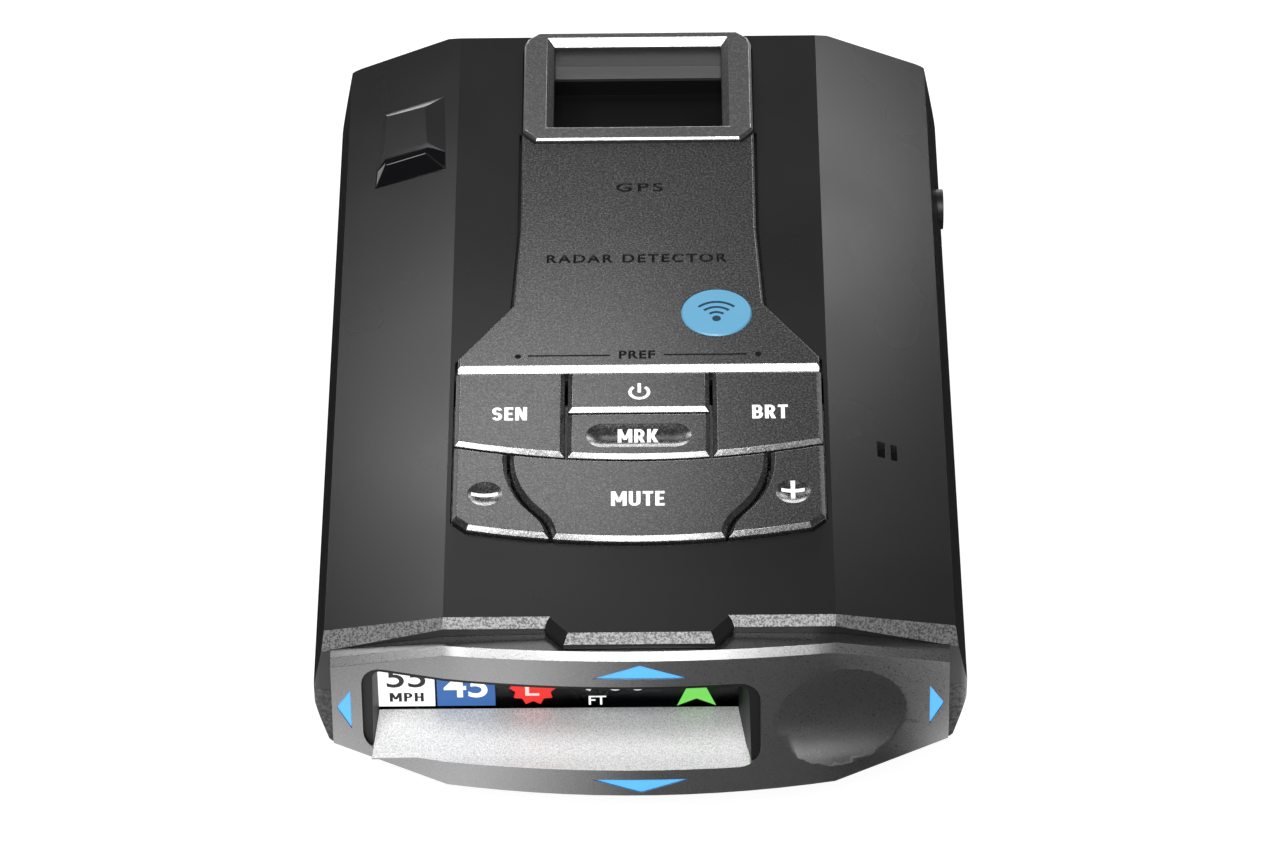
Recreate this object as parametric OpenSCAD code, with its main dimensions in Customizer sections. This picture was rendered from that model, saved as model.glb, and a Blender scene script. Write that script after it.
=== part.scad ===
// Windscreen radar detector: casing, keypad, display, receiver and electronics.
// +X is to the driver's right, +Y to the windscreen and +Z up.
// The origin is under the middle of the casing, on its flat underside.

/* [Casing] */
// Width of the casing at its waist
body_width = 90; // [88:0.5:92]
// Length from the bottom edge of the fascia to the windscreen end
body_length = 136; // [134:0.5:138]
// Height of the flat top deck
deck_z = 34; // [33.5:0.1:34.5]
// Height of the seam between the two shells
seam_z = 19; // [18:0.5:20]
// Wall thickness of both shells
wall = 2; // [1.8:0.1:2.2]
// Size of the textured bevel along the front lip
lip_bevel = 1.15; // [0.8:0.05:1.4]

/* [Keypad] */
// How far the panel and the keys stand above the deck
panel_rise = 1.1; // [0.8:0.1:1.4]
// Bevel round the top of each key
key_bevel = 0.62; // [0.4:0.02:0.8]
// Gap between one key and the next
key_gap = 0.45; // [0.3:0.05:0.6]
// Depth of the finger dimples
dimple_depth = 0.55; // [0.3:0.05:0.7]

/* [Display] */
// Width of the opening in the fascia
window_width = 54.5; // [53:0.5:56]
// Height of the opening in the fascia
window_height = 13.95; // [13:0.05:14.5]

/* [Receiver] */
// Half-width of the mouth of the horn that looks forward
front_horn_half = 17.5; // [15:0.5:18]
// Half-width of the mouth of the horn that looks back
rear_horn_half = 9.5; // [8:0.5:10]

/* [Hidden] */
$fn = 48;

half_width = body_width / 2;
half_length = body_length / 2;
// Casing section, half-widths and heights
crease_half = 26.7;
edge_half = 43.2;
edge_z = deck_z - 5.7;
band_z = seam_z - 3;
low_half = 43.2;
low_z = 9.5;
base_half = 33;
// Casing plan
lip_y = -58.9;
lip_end_y = -55.4;
front_y = lip_y - lip_bevel;
front_side_y = -57.1;
rear_side_y = half_length - 1.7;
tab_front_half = 9.7;
tab_back_half = 12.1;
tab_y = -62.1;
rear_corner_r = 3.5;
rear_bevel = 0.8;
under_front_y = -50.5;
under_rear_y = 64.5;
under_rear_z = 6;
deck_under_z = deck_z - wall;

// Fascia
bezel_bottom_z = 8.5;
bezel_face_top_z = 30.95;
bezel_bevel = 0.95;
bezel_half = 42.3;
bezel_back_y = -57;
bezel_lean = 0.147;
bezel_bow = 1.99;
bezel_crown = 0.45;
bezel_end_set = 3.46;
bezel_end_drop = 4.75;
bezel_end_rise = 4.15;
bezel_wall = 2;
window_left = -38.1;
window_bottom_z = 12.75;
window_r = 3;
window_top_z = window_bottom_z + window_height;
shelf_z = 13.1;
floor_start_y = -64.5;
floor_back_z = 15;
screen_left = -36;
screen_right = 13.4;
screen_y = -57.2;
scoop_x = 28;
scoop_z = 19.8;
scoop_radii = [14.5, 4, 11];
scoop_out = 2.75;
scoop_turn = 10;
arrow_recess = 0.15;
guide_back_y = -54.1;

// Keypad outline and rows
panel_top_z = deck_z + panel_rise;
keypad_half = 25.8;
keypad_rear_y = -10;
panel_front_y = keypad_rear_y + key_gap;
row_radius = 108;
row1_y = -28.2;
row2_y = -44.75;
mark_y = -18.4;
column_x = 10.2;
corner_cut = 2;
corner_y = -40.2;
groove_x = 18.2;
groove_start_y = -28.5;
groove_r = 16.2;
groove_turn = 42;
groove_exit_r = 7.35;
key_bottom_z = deck_z - 2.8;
stem_r = 1.6;
dome_top_z = key_bottom_z - 0.6;
key_board_z = 27.8;
dimple_r = 2.4;
side_dimple = [21.35, -35.4];
mark_dimple_y = -23.6;
mark_dimple_half = 5;
key_centres = [[-18, -19], [0, -14], [0, -23.5], [18, -19], [-20.5, -34.5], [0, -36], [20.5, -34.5]];

// Panel
panel_half = 17.1;
panel_wide = 25.6;
panel_seat_z = deck_z - 1;
panel_bevel = 0.3;
panel_front_bevel = 0.85;
groove_width = 0.45;
badge_pos = [11.15, 2.4];
badge_r = 5.05;

// Mount socket
socket_half = 17;
socket_front_y = 41.2;
socket_rear_y = 66.6;
socket_top_z = deck_z + 1.5;
socket_block_half = 15.3;
socket_block = [42.6, 65.5];
pocket_half = 12.5;
pocket_y = [45, 64.15];
pocket_rim = 1.1;
ledge_y = 61.2;
ledge_z = 30.7;
pocket_floor_z = 27.5;
socket_bottom_z = 25.8;

// Laser bump on the left facet
bump_rise = 1.7;
bump_base = [[-38.9, 41.0], [-28.4, 41.0], [-28.9, 54.2], [-37.9, 53.9]];
bump_top = [[-37.7, 42.2], [-31.2, 42.4], [-31.7, 50.9], [-37.4, 51.2]];
bump_lens_base = [[-38.8, 37.0], [-28.4, 37.0], [-28.6, 44.0], [-38.6, 44.0]];
bump_lens_top = [[-37.4, 40.4], [-31.4, 40.6], [-31.0, 43.6], [-37.4, 43.6]];
bump_lens_rise = 1.15;

// Inside
board_z = 9.4;
board_t = 1.6;
board_top_z = board_z + board_t;
board_half = 37;
board_y = [-43.5, 57.5];
board_screw_xy = [[-32, -34], [34, -9.5], [-32, 50], [27, 46]];
case_screw_xy = [[-14, -47.5], [14, -47.5], [-21.5, 61.5], [21.5, 61.5]];
post_r = 2.8;
boss_r = 3;
key_screw_x = 28.6;
key_screw_y = [-38, -16];
speaker_xy = [-14, -10];
speaker_r = 14;
jack_y = 44;
jack_bore_r = 1.8;
jack_collar_r = 3;
jack_reach = 0.45;
usb_y = 22;
usb_z = board_top_z + 0.1;
power_x = 31.3;
front_lens = [-31, 24];
front_lens_r = 4.6;
clear = 0.05;

// ---------- helpers ----------

function unit(v) = v / norm(v);
function left_of(d) = [-d[1], d[0]];

// Mirrors the right half of an outline, listed from the bottom up, to close it
function both_sides(half) = concat(half, [for (i = [len(half) - 1:-1:0]) [-half[i][0], half[i][1]]]);

// Moves a counter-clockwise outline inwards by t, with mitred corners
function inset(p, t) = [
    for (i = [0:len(p) - 1])
        let (
            before = p[(i + len(p) - 1) % len(p)],
            after = p[(i + 1) % len(p)],
            n0 = left_of(unit(p[i] - before)),
            n1 = left_of(unit(after - p[i]))
        )
        p[i] + t * (n0 + n1) / (1 + n0 * n1)
];

// Rounds one corner b between a and c to radius r, in the given number of steps
function corner(a, b, c, r, steps) =
    let (
        u = unit(a - b),
        v = unit(c - b),
        half_angle = acos(u * v) / 2,
        centre = b + unit(u + v) * r / sin(half_angle),
        from = b + u * r / tan(half_angle) - centre,
        side = u[0] * v[1] - u[1] * v[0] > 0 ? -1 : 1,
        turn = side * (180 - 2 * half_angle)
    )
    [for (k = [0:steps]) centre + turned(from, turn * k / steps)];
function turned(v, a) = [v[0] * cos(a) - v[1] * sin(a), v[0] * sin(a) + v[1] * cos(a)];

// Rounds each corner of an outline to its own radius, where 0 leaves it sharp
function rounded(p, radii, steps = 6) = [
    for (i = [0:len(p) - 1])
        each radii[i] == 0
            ? [p[i]]
            : corner(p[(i + len(p) - 1) % len(p)], p[i], p[(i + 1) % len(p)], radii[i], steps)
];

function at_z(p, z) = [for (q = p) [q[0], q[1], z]];
function middle(ring) = [for (axis = [0:2]) [for (q = ring) q[axis]] * [for (q = ring) 1] / len(ring)];

// Closed skin through rings of equal length, with a flat fan on each end
module loft(rings, first_hub = undef, last_hub = undef) {
    n = len(rings[0]);
    last = len(rings) - 1;
    hub_a = is_undef(first_hub) ? middle(rings[0]) : first_hub;
    hub_b = is_undef(last_hub) ? middle(rings[last]) : last_hub;
    points = concat([for (r = rings) each r], [hub_a, hub_b]);
    sides = [
        for (i = [0:last - 1], k = [0:n - 1])
            let (k2 = (k + 1) % n)
            each [
                [i * n + k, (i + 1) * n + k, (i + 1) * n + k2],
                [i * n + k, (i + 1) * n + k2, i * n + k2]
            ]
    ];
    start = [for (k = [0:n - 1]) [len(points) - 2, k, (k + 1) % n]];
    end = [for (k = [0:n - 1]) [len(points) - 1, last * n + (k + 1) % n, last * n + k]];
    polyhedron(points = points, faces = concat(sides, start, end));
}

// Everything on the far side of the plane through three points, counter-clockwise from there
module beyond(a, b, c) {
    n = unit(cross(b - a, c - a));
    translate(a) rotate([0, acos(n[2]), atan2(n[1], n[0])])
        translate([-200, -200, 0])
            cube([400, 400, 100]);
}

// Prism of an XZ outline between two Y values
module along_y(outline, y0, y1) {
    translate([0, y1, 0]) rotate([90, 0, 0])
        linear_extrude(y1 - y0)
            polygon(outline);
}

module along_x(outline, x0, x1) {
    translate([x0, 0, 0]) rotate([90, 0, 90])
        linear_extrude(x1 - x0)
            polygon(outline);
}

module box(low, high) {
    translate(low)
        cube(high - low);
}

// ---------- casing ----------

section = both_sides([
    [base_half, 0], [low_half, low_z], [half_width, band_z], [half_width, seam_z],
    [edge_half, edge_z], [crease_half, deck_z]
]);
plan = rounded(
    [
        [-half_width, front_side_y], [-crease_half, front_y], [crease_half, front_y],
        [half_width, front_side_y], [half_width, rear_side_y], [crease_half, half_length],
        [-crease_half, half_length], [-half_width, rear_side_y]
    ],
    [1.2, 0, 0, 1.2, rear_corner_r, 0, 0, rear_corner_r]
);
tab_plan = [
    [-tab_back_half, -57], [-tab_back_half, lip_y - 0.3], [-tab_front_half, tab_y],
    [tab_front_half, tab_y], [tab_back_half, lip_y - 0.3], [tab_back_half, -57]
];

// Outer form of the whole casing, moved inwards by t
module casing(t) {
    difference() {
        intersection() {
            along_y(inset(section, t), -80, 80);
            translate([0, 0, -5])
                linear_extrude(60)
                    polygon(inset(plan, t));
        }
        under_slopes(t);
        if (t == 0)
            top_bevels();
    }
}

// The two slopes under the ends
module under_slopes(t) {
    lift = t * 1.2;
    beyond([0, under_front_y, lift], [1, under_front_y, lift], [0, bezel_back_y, bezel_bottom_z + lift]);
    beyond([0, under_rear_y, lift], [0, half_length, under_rear_z + lift], [1, under_rear_y, lift]);
}

// Bevels along the front lip and the rear edge of the deck
module top_bevels() {
    lip = [0, lip_y, deck_z];
    beyond(lip, [0, front_y, deck_z - lip_bevel], [1, lip_y, deck_z]);
    for (s = [-1, 1]) {
        bend = [s * crease_half, lip_y, deck_z];
        low = [s * crease_half, front_y, deck_z - lip_bevel];
        end = [s * edge_half, lip_end_y, edge_z];
        if (s > 0)
            beyond(bend, low, end);
        else
            beyond(bend, end, low);
    }
    back = [0, half_length - rear_bevel, deck_z];
    beyond(back, [1, half_length - rear_bevel, deck_z], [0, half_length, deck_z - rear_bevel]);
}

// Tab in the middle of the lip, beveled along its front
module lip_tab() {
    low = deck_under_z + 0.05;
    foot = inset(tab_plan, -lip_bevel);
    loft([
        at_z(foot, low),
        at_z(foot, deck_z - lip_bevel),
        at_z(tab_plan, deck_z)
    ]);
}

module shell_space() {
    casing(wall);
}

// Space that the fascia fills in the front of the shells
module fascia_space() {
    difference() {
        bezel_form(-clear);
        box([-60, bezel_back_y, -5], [60, 0, 60]);
    }
    box([-bezel_half - clear, -75, -5], [bezel_half + clear, bezel_back_y, bezel_bottom_z + 4.7]);
    along_y(fascia_gate, bezel_back_y - 1, -50);
}
// Opening in the front wall, hidden behind the fascia
fascia_gate = both_sides([
    [crease_half, 10.2], [38.5, 12.6], [40.3, 14.2], [41.9, 15.8], [41.9, 22.6], [40.3, 26],
    [36.9, 27.6], [crease_half, 30.9], [crease_half, deck_under_z - 0.1]
]);

module case_posts() {
    for (p = case_screw_xy)
        translate([p[0], p[1], seam_z])
            cylinder(r = post_r, h = deck_z - seam_z - 1);
    for (s = [-1, 1], y = key_screw_y)
        translate([s * key_screw_x, y, key_board_z])
            cylinder(r = 1.9, h = deck_z - key_board_z - 2);
}

module screw_pilots() {
    for (p = case_screw_xy)
        translate([p[0], p[1], seam_z - 1])
            cylinder(r = 1.1, h = 11);
    for (s = [-1, 1], y = key_screw_y)
        translate([s * key_screw_x, y, key_board_z - 1])
            cylinder(r = 0.7, h = 4);
}

module top_shell() color("#2a2828") {
    difference() {
        union() {
            difference() {
                union() {
                    intersection() {
                        casing(0);
                        box([-60, -80, seam_z], [60, 80, 60]);
                    }
                    bump_hood();
                }
                shell_space();
                fascia_space();
            }
            lip_tab();
            intersection() {
                case_posts();
                casing(wall - 0.5);
            }
        }
        screw_pilots();
        keypad_opening();
        panel_seat();
        socket_opening();
        bump_lens_seat();
        light_slots();
        jack_notch();
        front_lens_hole();
        power_cutout();
    }
}

module keypad_opening() {
    translate([0, 0, 29])
        linear_extrude(10)
            polygon(inset(keypad_outline, -0.3));
}

module panel_seat() {
    translate([0, 0, panel_seat_z])
        linear_extrude(10)
            polygon(inset(panel_outline, -groove_width));
}

module socket_opening() {
    translate([0, 0, panel_seat_z])
        linear_extrude(10)
            polygon(inset(socket_outline, -0.2));
    box([-socket_block_half - 0.2, socket_block[0] - 0.2, 20], [socket_block_half + 0.2, socket_block[1] + 0.2, 40]);
}

module jack_notch() {
    translate([30, jack_y, seam_z]) rotate([0, 90, 0])
        cylinder(r = jack_collar_r + clear, h = 20);
}

module front_lens_hole() {
    translate([front_lens[0], half_length + 2, front_lens[1]]) rotate([90, 0, 0])
        cylinder(r = front_lens_r + 0.1, h = 6);
}

module power_cutout() {
    box([power_x - 6.8, 60, board_top_z], [power_x + 6.8, 72, board_top_z + 12.3]);
}

module bottom_shell() color("#303031") {
    difference() {
        union() {
            difference() {
                intersection() {
                    casing(0);
                    box([-60, -80, -1], [60, 80, seam_z - clear]);
                }
                shell_space();
                fascia_space();
            }
            intersection() {
                shell_bosses();
                casing(0.5);
            }
        }
        boss_bores();
        speaker_grille();
        jack_notch();
        usb_cutout();
        power_cutout();
        box([-7, bezel_back_y - 1, bezel_bottom_z + 0.3], [7, guide_back_y, bezel_bottom_z + 3]);
        box([-24, 15, -1], [24, 45, 0.3]);
    }
}

module shell_bosses() {
    for (p = case_screw_xy)
        translate([p[0], p[1], 0.5])
            cylinder(r = boss_r, h = seam_z - 0.6);
    for (p = board_screw_xy)
        translate([p[0], p[1], 0.5])
            cylinder(r = 3, h = board_z - 0.5);
}

module boss_bores() {
    for (p = case_screw_xy)
        translate([p[0], p[1], 0]) {
            translate([0, 0, -2])
                cylinder(r = 1.45, h = 30);
            translate([0, 0, -2])
                cylinder(r = 2.5, h = 5.4);
        }
    for (p = board_screw_xy)
        translate([p[0], p[1], 3.5])
            cylinder(r = 0.9, h = 10);
}

module speaker_grille() {
    for (i = [-3:3], j = [-3:3])
        if (norm([i, j]) < 3.3)
            translate([speaker_xy[0] + 3 * i, speaker_xy[1] + 3 * j, -1])
                cylinder(r = 0.8, h = 5, $fn = 16);
}

module usb_cutout() {
    box([38, usb_y - 4.2, usb_z - 0.4], [50, usb_y + 4.2, usb_z + 3.2]);
}

// ---------- fascia ----------

// Height drop and set-back of the fascia's edges at distance x from the middle
function bezel_end(x) = max(0, (abs(x) - crease_half) / (bezel_half - crease_half));
function bezel_curve(x) = pow(min(abs(x), crease_half) / crease_half, 2);
function bezel_set(x) = bezel_bow * bezel_curve(x) + bezel_end_set * bezel_end(x);
function bezel_high(x) = bezel_face_top_z - bezel_crown * bezel_curve(x) - bezel_end_drop * bezel_end(x);
function bezel_low(x) = bezel_bottom_z + bezel_crown * bezel_curve(x) + bezel_end_rise * bezel_end(x);
function bezel_face_y(x, z) = -half_length + (z - bezel_bottom_z) * bezel_lean + bezel_set(x);

// YZ section of the fascia at x, moved inwards by t
function bezel_section(x, t) =
    let (high = bezel_high(x) - t * 0.6, low = bezel_low(x) + t)
    [
        [x, bezel_face_y(x, low) + t, low],
        [x, bezel_back_y, low],
        [x, bezel_back_y, high + bezel_bevel - t * 0.4],
        [x, bezel_face_y(x, high) + bezel_bevel + t, high + bezel_bevel - t * 0.4],
        [x, bezel_face_y(x, high) + t, high]
    ];

bezel_stations = [-1, -crease_half / bezel_half, -0.55, -0.45, -0.35, -0.25, -0.15, -0.05,
    0.05, 0.15, 0.25, 0.35, 0.45, 0.55, crease_half / bezel_half, 1];

module bezel_form(t) {
    loft([for (s = bezel_stations) bezel_section(s * (bezel_half - t * (abs(s) == 1 ? 1 : 0)), t)]);
}

window_outline = rounded(
    [
        [window_left, window_bottom_z], [window_left + window_width, window_bottom_z],
        [window_left + window_width, window_bottom_z + window_height],
        [window_left, window_bottom_z + window_height]
    ],
    [window_r, window_r, window_r, window_r]
);

module front_bezel() color("#8e8f92") {
    difference() {
        union() {
            difference() {
                bezel_form(0);
                difference() {
                    bezel_form(bezel_wall);
                    bezel_shelf();
                    guide_sleeves();
                }
                difference() {
                    box([-bezel_half + bezel_wall, bezel_back_y - 0.5, bezel_bottom_z + 4],
                        [bezel_half - bezel_wall, -50, 25]);
                    bezel_shelf();
                    guide_sleeves();
                }
            }
            bezel_tabs();
        }
        window_cut();
        scoop();
        for (i = [0:3])
            arrow_prism(i, clear, -80);
    }
    recess_floor();
}

// Silver floor of the display recess, rising from the window's edge to the display
module recess_floor() {
    intersection() {
        tunnel_bore(0.06);
        along_x([
            [floor_start_y, window_bottom_z - 0.3], [screen_y - 0.1, window_bottom_z - 0.3],
            [screen_y - 0.1, floor_back_z], [floor_start_y, window_bottom_z]
        ], screen_left - 5, screen_right + 5);
    }
}

// Shelf that makes the silver floor of the display recess
module bezel_shelf() {
    box([window_left - 1.5, -75, window_bottom_z - 1.3], [window_left + window_width + 1.5, bezel_back_y, shelf_z - 0.1]);
}

module window_cut() {
    along_y(window_outline, -80, bezel_back_y + 1);
    box([screen_left - 1.4, screen_y - 0.1, shelf_z - 0.1], [screen_right + 1.4, -50, 27.9]);
}

module scoop() {
    translate([scoop_x, bezel_face_y(scoop_x, scoop_z) - scoop_out, scoop_z])
        rotate([-atan(bezel_lean), 0, scoop_turn])
            scale(scoop_radii)
                sphere(r = 1, $fn = 96);
}

module bezel_tabs() {
    for (s = [-1, 1]) {
        box([s * 21 - 4, bezel_back_y - 3, deck_under_z - 1.8], [s * 21 + 4, bezel_back_y + 4, deck_under_z - 0.6]);
        box([s * 22 - 4, bezel_back_y - 3, bezel_bottom_z + 1.75], [s * 22 + 4, bezel_back_y + 2, bezel_bottom_z + 3]);
    }
}

// Outlines of the four arrows: up, down, left, right
arrow_outlines = [
    [[-6.25, 28.05], [6.25, 28.05], [0, 30.2]],
    [[-6.4, 11.1], [0, 9.05], [6.4, 11.1]],
    [[-39.7, 16.2], [-39.7, 22.2], [-41.55, 19.2]],
    [[39.7, 16.2], [41.55, 19.2], [39.7, 22.2]]
];

module arrow_prism(i, grow, y0) {
    along_y(inset(arrow_outlines[i], -grow), y0, guide_back_y);
}

module guide_sleeves() {
    for (s = [-1, 1])
        box([s * 40.6 - 1.9, -75, 15.2], [s * 40.6 + 1.9, bezel_back_y + 0.01, 23.2]);
    box([-7.6, -75, 27.6], [7.6, bezel_back_y + 0.01, 33]);
    box([-7.6, -75, 8], [7.6, bezel_back_y + 0.01, 11.7]);
}

module arrow_guide(i) {
    intersection() {
        arrow_prism(i, 0, -75);
        union() {
            bezel_form(arrow_recess);
            box([-50, bezel_back_y - 0.5, 0], [50, -50, 40]);
        }
    }
}

module arrow_up() color("#5cc3ff") arrow_guide(0);
module arrow_down() color("#5cc3ff") arrow_guide(1);
module arrow_left() color("#5cc3ff") arrow_guide(2);
module arrow_right() color("#5cc3ff") arrow_guide(3);

module arrow_leds() color("#fff7d8") {
    for (p = [[0, 29], [0, 10.4], [-40.4, 19.2], [40.4, 19.2]])
        translate([p[0] - 0.6, guide_back_y + 0.1, p[1] - 0.7])
            cube([1.2, 1.6, 1.4]);
}

// Dark liner of the display recess: two side walls and a ceiling
module display_tunnel() color("#141416") {
    difference() {
        intersection() {
            along_y(inset(window_outline, clear), -75, screen_y);
            union() {
                bezel_form(0.5);
                box([-50, bezel_back_y - 0.5, 0], [50, -50, 40]);
            }
        }
        tunnel_bore(0);
    }
}

// Space inside the tunnel, drawn in by gap, which runs on down through the open floor
module tunnel_bore(gap) {
    back = open_floor(screen_left + gap, screen_right - gap, window_top_z - 0.9, 0.6);
    front = open_floor(window_left + 0.7 + gap, window_left + window_width - 0.7 - gap, window_top_z - 0.7, window_r - 0.7);
    loft([
        [for (q = back) [q[0], screen_y + 0.5, q[1]]],
        [for (q = front) [q[0] * 1.01, -70, q[1]]]
    ]);
}

function open_floor(left, right, top, r) = rounded(
    [[left, window_bottom_z - 3], [right, window_bottom_z - 3], [right, top], [left, top]],
    [r, r, r, r]
);

module display_window() color("#9fb0b8") {
    box([screen_left - 0.9, screen_y + 0.05, shelf_z], [screen_right + 0.9, screen_y + 0.9, 27.4]);
}

module display_module() color("#0b0c10") {
    difference() {
        box([screen_left - 1.6, screen_y + 1, 11.7], [screen_right + 1.6, -52.6, 27.75]);
        box([screen_left, screen_y + 0.5, 13.3], [screen_right, screen_y + 1.2, 27]);
    }
}

module display_board() color("#1f6b45") {
    difference() {
        box([-41, -52.4, 9], [41, -51.2, 27.3]);
        for (s = [-1, 1])
            translate([s * 30, -50, 12]) rotate([90, 0, 0])
                cylinder(r = 1.1, h = 5);
        box([-42, -53, 5], [-37, -50, 17]);
        box([37, -53, 5], [42, -50, 17]);
        box([-42, -53, 25.5], [-37, -50, 30]);
        box([37, -53, 25.5], [42, -50, 30]);
    }
    box([-3, -52.4, 27], [3, -51.2, 30.4]);
}

module display_ribbon() color("#b98b3a") {
    box([-29.5, -51.2, 14], [-19, -50.95, 18]);
    box([-29.5, -51, 14], [-19, -40, 14.25]);
    box([-29.5, -40.25, board_top_z + 1.3], [-19, -40, 14.25]);
    box([-30, -41.5, board_top_z], [-18.5, -38.5, board_top_z + 1.4]);
}

// ---------- top deck ----------

// Sag of a row's curved edge at distance x from the middle
function sag(x) = x * x / (2 * row_radius);

// Right edge of the mute key, or left edge of the key beside it, at distance off from the groove
function groove(off) = concat(
    [for (a = [0:7:groove_turn])
        [groove_x - groove_r, groove_start_y] + (groove_r + off) * [cos(a), -sin(a)]],
    [for (a = [groove_turn - 8:-7:12])
        groove_turn_centre + (groove_exit_r - off) * [-cos(a), sin(a)]]
);
groove_turn_centre = [groove_x - groove_r, groove_start_y]
    + (groove_r + groove_exit_r) * [cos(groove_turn), -sin(groove_turn)];
groove_exit_x = groove_turn_centre[0] - groove_exit_r;

module key(outline, hub, stem) {
    difference() {
        union() {
            loft([
                at_z(outline, key_bottom_z),
                at_z(outline, panel_top_z - key_bevel),
                at_z(inset(outline, key_bevel), panel_top_z)
            ], [hub[0], hub[1], key_bottom_z], [hub[0], hub[1], panel_top_z]);
            translate([stem[0], stem[1], dome_top_z])
                cylinder(r = stem_r, h = 1.5);
        }
        children();
    }
}

half_gap = key_gap / 2;
function row1_edge(x) = row1_y + half_gap + sag(x);
function row2_top(x) = row1_y - half_gap + sag(x);
function row2_bottom(x) = row2_y + sag(x);
function run(a, b, steps) = [for (k = [0:steps]) a + (b - a) * k / steps];

sensitivity_outline = [
    each [for (x = run(-keypad_half, -column_x - half_gap, 4)) [x, row1_edge(x)]],
    [-column_x - half_gap, keypad_rear_y], [-keypad_half, keypad_rear_y]
];
power_outline = [
    [-column_x + half_gap, mark_y + half_gap], [column_x - half_gap, mark_y + half_gap],
    [column_x - half_gap, keypad_rear_y], [-column_x + half_gap, keypad_rear_y]
];
mark_outline = [
    each [for (x = run(-column_x + half_gap, column_x - half_gap, 6)) [x, row1_edge(x)]],
    [column_x - half_gap, mark_y - half_gap], [-column_x + half_gap, mark_y - half_gap]
];
mute_half = groove_exit_x - half_gap;
mute_side = groove(-half_gap);
mute_top_x = groove_x - half_gap;
function flipped(p) = [for (i = [len(p) - 1:-1:0]) [-p[i][0], p[i][1]]];
function backwards(p) = [for (i = [len(p) - 1:-1:0]) p[i]];
mute_outline = [
    each [for (x = run(-mute_half, mute_half, 8)) [x, row2_bottom(x)]],
    each backwards(mute_side),
    each [for (x = run(mute_top_x, -mute_top_x, 10)) [x, row2_top(x)]],
    each flipped(backwards(mute_side))
];
volume_outline = [
    each [for (x = run(groove_exit_x + half_gap, keypad_half - corner_cut, 4)) [x, row2_bottom(x)]],
    [keypad_half, corner_y],
    each [for (x = run(keypad_half, groove_x + half_gap, 3)) [x, row2_top(x)]],
    each groove(half_gap)
];

module key_sensitivity() color("#55565a") key(sensitivity_outline, [-18, -19], key_centres[0]);
module key_power() color("#55565a") key(power_outline, [0, -14], key_centres[1]);
module key_mark() color("#55565a") {
    key(mark_outline, [0, -23], key_centres[2])
        mark_dimple();
}
module key_brightness() color("#55565a") mirror([1, 0, 0]) key(sensitivity_outline, [-18, -19], key_centres[0]);
module key_volume_up() color("#55565a") {
    key(volume_outline, [21, -38], key_centres[6])
        side_dimple_cut();
}
module key_volume_down() color("#55565a") mirror([1, 0, 0]) {
    key(volume_outline, [21, -38], key_centres[6])
        side_dimple_cut();
}
module key_mute() color("#55565a") key(mute_outline, [0, -36], key_centres[5]);

dimple_sphere_r = (dimple_r * dimple_r + dimple_depth * dimple_depth) / (2 * dimple_depth);
dimple_centre_z = panel_top_z - dimple_depth + dimple_sphere_r;

module side_dimple_cut() {
    translate([side_dimple[0], side_dimple[1], dimple_centre_z])
        sphere(r = dimple_sphere_r, $fn = 96);
}

module mark_dimple() {
    for (s = [-1, 1])
        translate([s * mark_dimple_half, mark_dimple_y, dimple_centre_z])
            sphere(r = dimple_sphere_r, $fn = 96);
    translate([-mark_dimple_half, mark_dimple_y, dimple_centre_z]) rotate([0, 90, 0])
        cylinder(r = dimple_sphere_r, h = 2 * mark_dimple_half, $fn = 96);
}

keypad_outline = [
    [-keypad_half, corner_y],
    each [for (x = run(-keypad_half + corner_cut, keypad_half - corner_cut, 16)) [x, row2_bottom(x)]],
    [keypad_half, corner_y], [keypad_half, keypad_rear_y], [-keypad_half, keypad_rear_y]
];

panel_outline = [
    [-panel_wide, panel_front_y], [panel_wide, panel_front_y], [panel_wide, -7],
    [panel_half + 0.85, 4.4], [panel_half + 0.75, 6], [panel_half, 21], [panel_half, socket_front_y + 1.9],
    [15.1, socket_front_y - 0.35], [-15.1, socket_front_y - 0.35], [-panel_half, socket_front_y + 1.9],
    [-panel_half, 21], [-panel_half - 0.75, 6], [-panel_half - 0.85, 4.4], [-panel_wide, -7]
];
// The top of the panel's front edge is set back for the wide bevel above the keys
function panel_top(t) = [
    for (q = inset(panel_outline, t))
        q[1] < panel_front_y + 1 ? [q[0], q[1] + panel_front_bevel - t] : q
];

module control_panel() color("#5c5d60") {
    difference() {
        loft([
            at_z(panel_outline, panel_seat_z),
            at_z(panel_outline, panel_top_z - panel_front_bevel),
            at_z([for (q = panel_outline) q[1] < -8 ? [q[0], q[1] + 0.55] : q], panel_top_z - panel_bevel),
            at_z(panel_top(panel_bevel), panel_top_z)
        ], [0, 0, panel_seat_z], [0, 0, panel_top_z]);
        translate([badge_pos[0], badge_pos[1], panel_top_z - 0.5])
            cylinder(r = badge_r + clear, h = 3, $fn = 72);
    }
}

module badge_disc() color("#7cc8f5") {
    translate([badge_pos[0], badge_pos[1], panel_top_z - 0.5]) {
        cylinder(r = badge_r, h = 0.45, $fn = 72);
        translate([0, 0, 0.45])
            cylinder(r1 = badge_r, r2 = badge_r - 0.2, h = 0.2, $fn = 72);
    }
}

socket_outline = both_sides([
    [15.1, socket_front_y], [socket_half, socket_front_y + 2.2], [socket_half, socket_rear_y - 3],
    [socket_half - 0.5, socket_rear_y - 1.5], [14.9, socket_rear_y]
]);

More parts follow.
